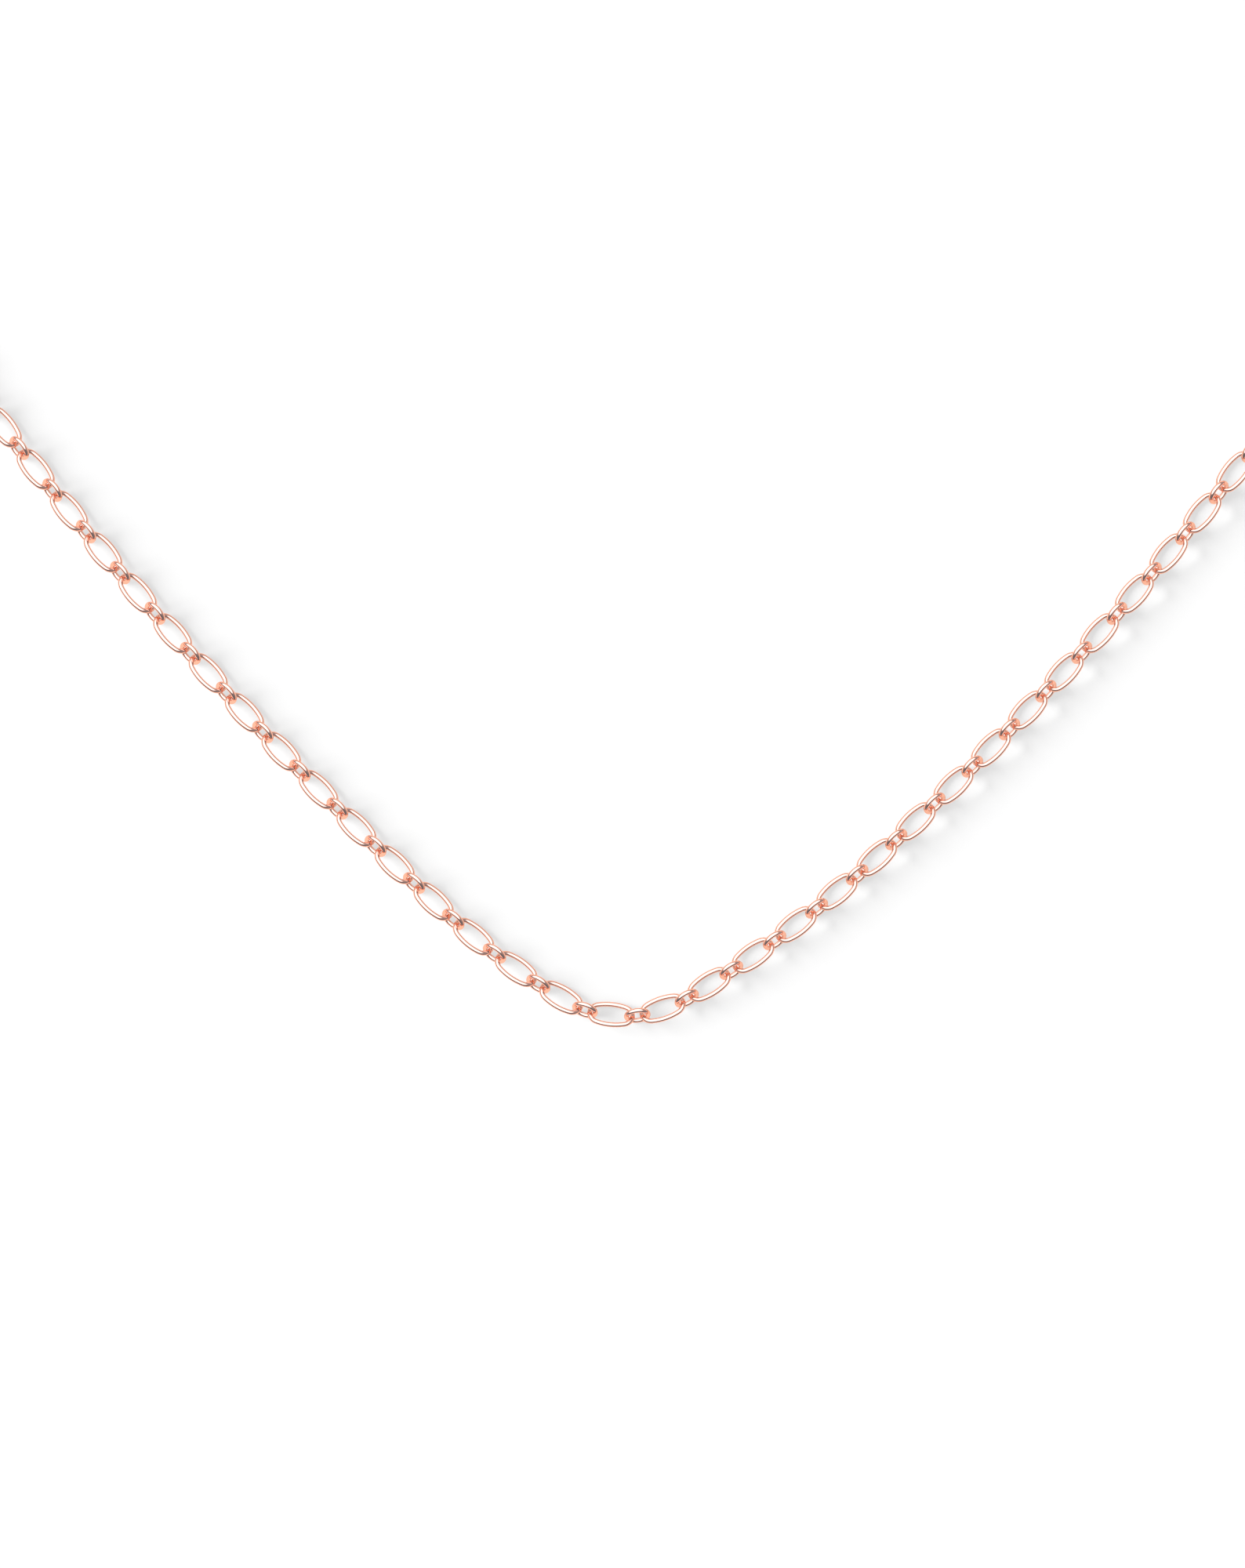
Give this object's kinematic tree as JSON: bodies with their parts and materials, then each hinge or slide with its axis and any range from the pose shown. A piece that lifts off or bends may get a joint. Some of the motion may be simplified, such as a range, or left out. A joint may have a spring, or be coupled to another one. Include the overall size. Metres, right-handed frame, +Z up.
{
  "type": "chain necklace",
  "caption": "Fine cable chain necklace of long and short oval wire links, unclasped and laid in a V, with a lobster clasp and an end ring.",
  "frame": {"origin": "on the table, under the middle of the whole necklace's bounding box", "axes": "+Z up from the table; +Y from the lowest link of the V towards the clasp and the end ring; +X towards the end ring's side"},
  "size_m": [0.1614, 0.2006, 0.0021],
  "materials": {
    "chain_metal": "polished",
    "clasp_metal": "polished",
    "rivet_steel": "satin",
    "spring_steel": "satin"
  },
  "bodies": {
    "lowest_links": {"lowest_links": "chain_metal"},
    "left_chain_01": {"left_chain_01": "chain_metal"},
    "left_chain_02": {"left_chain_02": "chain_metal"},
    "left_chain_03": {"left_chain_03": "chain_metal"},
    "left_chain_04": {"left_chain_04": "chain_metal"},
    "left_chain_05": {"left_chain_05": "chain_metal"},
    "left_chain_06": {"left_chain_06": "chain_metal"},
    "left_chain_07": {"left_chain_07": "chain_metal"},
    "left_chain_08": {"left_chain_08": "chain_metal"},
    "left_chain_09": {"left_chain_09": "chain_metal"},
    "left_chain_10": {"left_chain_10": "chain_metal"},
    "left_chain_11": {"left_chain_11": "chain_metal"},
    "left_chain_12": {"left_chain_12": "chain_metal"},
    "left_chain_13": {"left_chain_13": "chain_metal"},
    "left_chain_14": {"left_chain_14": "chain_metal"},
    "left_chain_15": {"left_chain_15": "chain_metal"},
    "left_chain_16": {"left_chain_16": "chain_metal"},
    "left_chain_17": {"left_chain_17": "chain_metal"},
    "left_chain_18": {"left_chain_18": "chain_metal"},
    "left_chain_19": {"left_chain_19": "chain_metal"},
    "left_chain_20": {"left_chain_20": "chain_metal"},
    "left_chain_21": {"left_chain_21": "chain_metal"},
    "left_chain_22": {"left_chain_22": "chain_metal"},
    "left_chain_23": {"left_chain_23": "chain_metal"},
    "left_chain_24": {"left_chain_24": "chain_metal"},
    "left_chain_25": {"left_chain_25": "chain_metal"},
    "right_chain_01": {"right_chain_01": "chain_metal"},
    "right_chain_02": {"right_chain_02": "chain_metal"},
    "right_chain_03": {"right_chain_03": "chain_metal"},
    "right_chain_04": {"right_chain_04": "chain_metal"},
    "right_chain_05": {"right_chain_05": "chain_metal"},
    "right_chain_06": {"right_chain_06": "chain_metal"},
    "right_chain_07": {"right_chain_07": "chain_metal"},
    "right_chain_08": {"right_chain_08": "chain_metal"},
    "right_chain_09": {"right_chain_09": "chain_metal"},
    "right_chain_10": {"right_chain_10": "chain_metal"},
    "right_chain_11": {"right_chain_11": "chain_metal"},
    "right_chain_12": {"right_chain_12": "chain_metal"},
    "right_chain_13": {"right_chain_13": "chain_metal"},
    "right_chain_14": {"right_chain_14": "chain_metal"},
    "right_chain_15": {"right_chain_15": "chain_metal"},
    "right_chain_16": {"right_chain_16": "chain_metal"},
    "right_chain_17": {"right_chain_17": "chain_metal"},
    "right_chain_18": {"right_chain_18": "chain_metal"},
    "right_chain_19": {"right_chain_19": "chain_metal"},
    "right_chain_20": {"right_chain_20": "chain_metal"},
    "right_chain_21": {"right_chain_21": "chain_metal"},
    "right_chain_22": {"right_chain_22": "chain_metal"},
    "right_chain_23": {"right_chain_23": "chain_metal"},
    "right_chain_24": {"right_chain_24": "chain_metal"},
    "right_chain_25": {"right_chain_25": "chain_metal"},
    "clasp_ring": {"clasp_ring": "chain_metal"},
    "end_ring": {"end_ring": "chain_metal"},
    "clasp_lever": {"clasp_lever": "clasp_metal"},
    "clasp_body": {"clasp_body": "clasp_metal", "clasp_rivet": "rivet_steel", "clasp_spring": "spring_steel"}
  },
  "joints": [
    {"name": "left_chain_01_hinge", "type": "hinge", "parent": "lowest_links", "child": "left_chain_01", "pos_m": [-0.00471, -0.09849, 0.00089], "axis": [0, 0, -1], "range_deg": [-25, 25]},
    {"name": "left_chain_02_hinge", "type": "hinge", "parent": "left_chain_01", "child": "left_chain_02", "pos_m": [-0.00889, -0.09599, 0.00089], "axis": [0, 0, 1], "range_deg": [-25, 25]},
    {"name": "left_chain_03_hinge", "type": "hinge", "parent": "left_chain_02", "child": "left_chain_03", "pos_m": [-0.01285, -0.09316, 0.00089], "axis": [0, 0, 1], "range_deg": [-25, 25]},
    {"name": "left_chain_04_hinge", "type": "hinge", "parent": "left_chain_03", "child": "left_chain_04", "pos_m": [-0.01657, -0.09001, 0.00089], "axis": [0, 0, -1], "range_deg": [-25, 25]},
    {"name": "left_chain_05_hinge", "type": "hinge", "parent": "left_chain_04", "child": "left_chain_05", "pos_m": [-0.02013, -0.08669, 0.00089], "axis": [0, 0, -1], "range_deg": [-25, 25]},
    {"name": "left_chain_06_hinge", "type": "hinge", "parent": "left_chain_05", "child": "left_chain_06", "pos_m": [-0.0271, -0.07989, 0.00089], "axis": [0, 0, 1], "range_deg": [-25, 25]},
    {"name": "left_chain_07_hinge", "type": "hinge", "parent": "left_chain_06", "child": "left_chain_07", "pos_m": [-0.03388, -0.07289, 0.00089], "axis": [0, 0, 1], "range_deg": [-25, 25]},
    {"name": "left_chain_08_hinge", "type": "hinge", "parent": "left_chain_07", "child": "left_chain_08", "pos_m": [-0.04046, -0.06572, 0.00089], "axis": [0, 0, -1], "range_deg": [-25, 25]},
    {"name": "left_chain_09_hinge", "type": "hinge", "parent": "left_chain_08", "child": "left_chain_09", "pos_m": [-0.04684, -0.05836, 0.00089], "axis": [0, 0, -1], "range_deg": [-25, 25]},
    {"name": "left_chain_10_hinge", "type": "hinge", "parent": "left_chain_09", "child": "left_chain_10", "pos_m": [-0.05301, -0.05082, 0.00089], "axis": [0, 0, 1], "range_deg": [-25, 25]},
    {"name": "left_chain_11_hinge", "type": "hinge", "parent": "left_chain_10", "child": "left_chain_11", "pos_m": [-0.05893, -0.04308, 0.00089], "axis": [0, 0, 1], "range_deg": [-25, 25]},
    {"name": "left_chain_12_hinge", "type": "hinge", "parent": "left_chain_11", "child": "left_chain_12", "pos_m": [-0.06422, -0.03491, 0.00089], "axis": [0, 0, -1], "range_deg": [-25, 25]},
    {"name": "left_chain_13_hinge", "type": "hinge", "parent": "left_chain_12", "child": "left_chain_13", "pos_m": [-0.06879, -0.02631, 0.00089], "axis": [0, 0, -1], "range_deg": [-25, 25]},
    {"name": "left_chain_14_hinge", "type": "hinge", "parent": "left_chain_13", "child": "left_chain_14", "pos_m": [-0.07258, -0.01734, 0.00089], "axis": [0, 0, 1], "range_deg": [-25, 25]},
    {"name": "left_chain_15_hinge", "type": "hinge", "parent": "left_chain_14", "child": "left_chain_15", "pos_m": [-0.07558, -0.00808, 0.00089], "axis": [0, 0, 1], "range_deg": [-25, 25]},
    {"name": "left_chain_16_hinge", "type": "hinge", "parent": "left_chain_15", "child": "left_chain_16", "pos_m": [-0.07776, 0.00141, 0.00089], "axis": [0, 0, -1], "range_deg": [-25, 25]},
    {"name": "left_chain_17_hinge", "type": "hinge", "parent": "left_chain_16", "child": "left_chain_17", "pos_m": [-0.07911, 0.01105, 0.00089], "axis": [0, 0, -1], "range_deg": [-25, 25]},
    {"name": "left_chain_18_hinge", "type": "hinge", "parent": "left_chain_17", "child": "left_chain_18", "pos_m": [-0.07961, 0.02078, 0.00089], "axis": [0, 0, 1], "range_deg": [-25, 25]},
    {"name": "left_chain_19_hinge", "type": "hinge", "parent": "left_chain_18", "child": "left_chain_19", "pos_m": [-0.07926, 0.03051, 0.00089], "axis": [0, 0, 1], "range_deg": [-25, 25]},
    {"name": "left_chain_20_hinge", "type": "hinge", "parent": "left_chain_19", "child": "left_chain_20", "pos_m": [-0.07806, 0.04017, 0.00089], "axis": [0, 0, -1], "range_deg": [-25, 25]},
    {"name": "left_chain_21_hinge", "type": "hinge", "parent": "left_chain_20", "child": "left_chain_21", "pos_m": [-0.07602, 0.04969, 0.00089], "axis": [0, 0, -1], "range_deg": [-25, 25]},
    {"name": "left_chain_22_hinge", "type": "hinge", "parent": "left_chain_21", "child": "left_chain_22", "pos_m": [-0.07317, 0.059, 0.00089], "axis": [0, 0, 1], "range_deg": [-25, 25]},
    {"name": "left_chain_23_hinge", "type": "hinge", "parent": "left_chain_22", "child": "left_chain_23", "pos_m": [-0.06951, 0.06803, 0.00089], "axis": [0, 0, 1], "range_deg": [-25, 25]},
    {"name": "left_chain_24_hinge", "type": "hinge", "parent": "left_chain_23", "child": "left_chain_24", "pos_m": [-0.06508, 0.0767, 0.00089], "axis": [0, 0, -1], "range_deg": [-25, 25]},
    {"name": "left_chain_25_hinge", "type": "hinge", "parent": "left_chain_24", "child": "left_chain_25", "pos_m": [-0.05991, 0.08495, 0.00089], "axis": [0, 0, -1], "range_deg": [-25, 25]},
    {"name": "right_chain_01_hinge", "type": "hinge", "parent": "lowest_links", "child": "right_chain_01", "pos_m": [0.00146, -0.09916, 0.00089], "axis": [0, 0, 1], "range_deg": [-25, 25]},
    {"name": "right_chain_02_hinge", "type": "hinge", "parent": "right_chain_01", "child": "right_chain_02", "pos_m": [0.00587, -0.09733, 0.00089], "axis": [0, 0, -1], "range_deg": [-25, 25]},
    {"name": "right_chain_03_hinge", "type": "hinge", "parent": "right_chain_02", "child": "right_chain_03", "pos_m": [0.00991, -0.09474, 0.00089], "axis": [0, 0, -1], "range_deg": [-25, 25]},
    {"name": "right_chain_04_hinge", "type": "hinge", "parent": "right_chain_03", "child": "right_chain_04", "pos_m": [0.01384, -0.09198, 0.00089], "axis": [0, 0, 1], "range_deg": [-25, 25]},
    {"name": "right_chain_05_hinge", "type": "hinge", "parent": "right_chain_04", "child": "right_chain_05", "pos_m": [0.01765, -0.08906, 0.00089], "axis": [0, 0, 1], "range_deg": [-25, 25]},
    {"name": "right_chain_06_hinge", "type": "hinge", "parent": "right_chain_05", "child": "right_chain_06", "pos_m": [0.02487, -0.08274, 0.00089], "axis": [0, 0, -1], "range_deg": [-25, 25]},
    {"name": "right_chain_07_hinge", "type": "hinge", "parent": "right_chain_06", "child": "right_chain_07", "pos_m": [0.03178, -0.07608, 0.00089], "axis": [0, 0, -1], "range_deg": [-25, 25]},
    {"name": "right_chain_08_hinge", "type": "hinge", "parent": "right_chain_07", "child": "right_chain_08", "pos_m": [0.03847, -0.06919, 0.00089], "axis": [0, 0, 1], "range_deg": [-25, 25]},
    {"name": "right_chain_09_hinge", "type": "hinge", "parent": "right_chain_08", "child": "right_chain_09", "pos_m": [0.04493, -0.06209, 0.00089], "axis": [0, 0, 1], "range_deg": [-25, 25]},
    {"name": "right_chain_10_hinge", "type": "hinge", "parent": "right_chain_09", "child": "right_chain_10", "pos_m": [0.05115, -0.05477, 0.00089], "axis": [0, 0, -1], "range_deg": [-25, 25]},
    {"name": "right_chain_11_hinge", "type": "hinge", "parent": "right_chain_10", "child": "right_chain_11", "pos_m": [0.05711, -0.04725, 0.00089], "axis": [0, 0, -1], "range_deg": [-25, 25]},
    {"name": "right_chain_12_hinge", "type": "hinge", "parent": "right_chain_11", "child": "right_chain_12", "pos_m": [0.06252, -0.03933, 0.00089], "axis": [0, 0, 1], "range_deg": [-25, 25]},
    {"name": "right_chain_13_hinge", "type": "hinge", "parent": "right_chain_12", "child": "right_chain_13", "pos_m": [0.06724, -0.03097, 0.00089], "axis": [0, 0, 1], "range_deg": [-25, 25]},
    {"name": "right_chain_14_hinge", "type": "hinge", "parent": "right_chain_13", "child": "right_chain_14", "pos_m": [0.07124, -0.02225, 0.00089], "axis": [0, 0, -1], "range_deg": [-25, 25]},
    {"name": "right_chain_15_hinge", "type": "hinge", "parent": "right_chain_14", "child": "right_chain_15", "pos_m": [0.07449, -0.01321, 0.00089], "axis": [0, 0, -1], "range_deg": [-25, 25]},
    {"name": "right_chain_16_hinge", "type": "hinge", "parent": "right_chain_15", "child": "right_chain_16", "pos_m": [0.07695, -0.00394, 0.00089], "axis": [0, 0, 1], "range_deg": [-25, 25]},
    {"name": "right_chain_17_hinge", "type": "hinge", "parent": "right_chain_16", "child": "right_chain_17", "pos_m": [0.07862, 0.00551, 0.00089], "axis": [0, 0, 1], "range_deg": [-25, 25]},
    {"name": "right_chain_18_hinge", "type": "hinge", "parent": "right_chain_17", "child": "right_chain_18", "pos_m": [0.07948, 0.01507, 0.00089], "axis": [0, 0, -1], "range_deg": [-25, 25]},
    {"name": "right_chain_19_hinge", "type": "hinge", "parent": "right_chain_18", "child": "right_chain_19", "pos_m": [0.07953, 0.02467, 0.00089], "axis": [0, 0, -1], "range_deg": [-25, 25]},
    {"name": "right_chain_20_hinge", "type": "hinge", "parent": "right_chain_19", "child": "right_chain_20", "pos_m": [0.07877, 0.03424, 0.00089], "axis": [0, 0, 1], "range_deg": [-25, 25]},
    {"name": "right_chain_21_hinge", "type": "hinge", "parent": "right_chain_20", "child": "right_chain_21", "pos_m": [0.0772, 0.0437, 0.00089], "axis": [0, 0, 1], "range_deg": [-25, 25]},
    {"name": "right_chain_22_hinge", "type": "hinge", "parent": "right_chain_21", "child": "right_chain_22", "pos_m": [0.07483, 0.053, 0.00089], "axis": [0, 0, -1], "range_deg": [-25, 25]},
    {"name": "right_chain_23_hinge", "type": "hinge", "parent": "right_chain_22", "child": "right_chain_23", "pos_m": [0.07168, 0.06207, 0.00089], "axis": [0, 0, -1], "range_deg": [-25, 25]},
    {"name": "right_chain_24_hinge", "type": "hinge", "parent": "right_chain_23", "child": "right_chain_24", "pos_m": [0.06777, 0.07084, 0.00089], "axis": [0, 0, 1], "range_deg": [-25, 25]},
    {"name": "right_chain_25_hinge", "type": "hinge", "parent": "right_chain_24", "child": "right_chain_25", "pos_m": [0.06313, 0.07924, 0.00089], "axis": [0, 0, 1], "range_deg": [-25, 25]},
    {"name": "clasp_ring_hinge", "type": "hinge", "parent": "left_chain_25", "child": "clasp_ring", "pos_m": [-0.05405, 0.09273, 0.00089], "axis": [0, 0, 1], "range_deg": [-18, 18]},
    {"name": "clasp_body_hinge", "type": "hinge", "parent": "clasp_ring", "child": "clasp_body", "pos_m": [-0.05289, 0.09422, 0.00103], "axis": [0, 0, 1], "range_deg": [-20, 20]},
    {"name": "clasp_lever_hinge", "type": "hinge", "parent": "clasp_body", "child": "clasp_lever", "pos_m": [-0.0504, 0.09473, 0.001], "axis": [0, 0, 1], "range_deg": [0, 20], "stiffness_Nm_per_rad": 0.006, "springref_deg": -20.05, "deforming": ["clasp_spring"]},
    {"name": "end_ring_hinge", "type": "hinge", "parent": "right_chain_25", "child": "end_ring", "pos_m": [0.0578, 0.08722, 0.00089], "axis": [0, 0, 1], "range_deg": [-20, 20]}
  ]
}
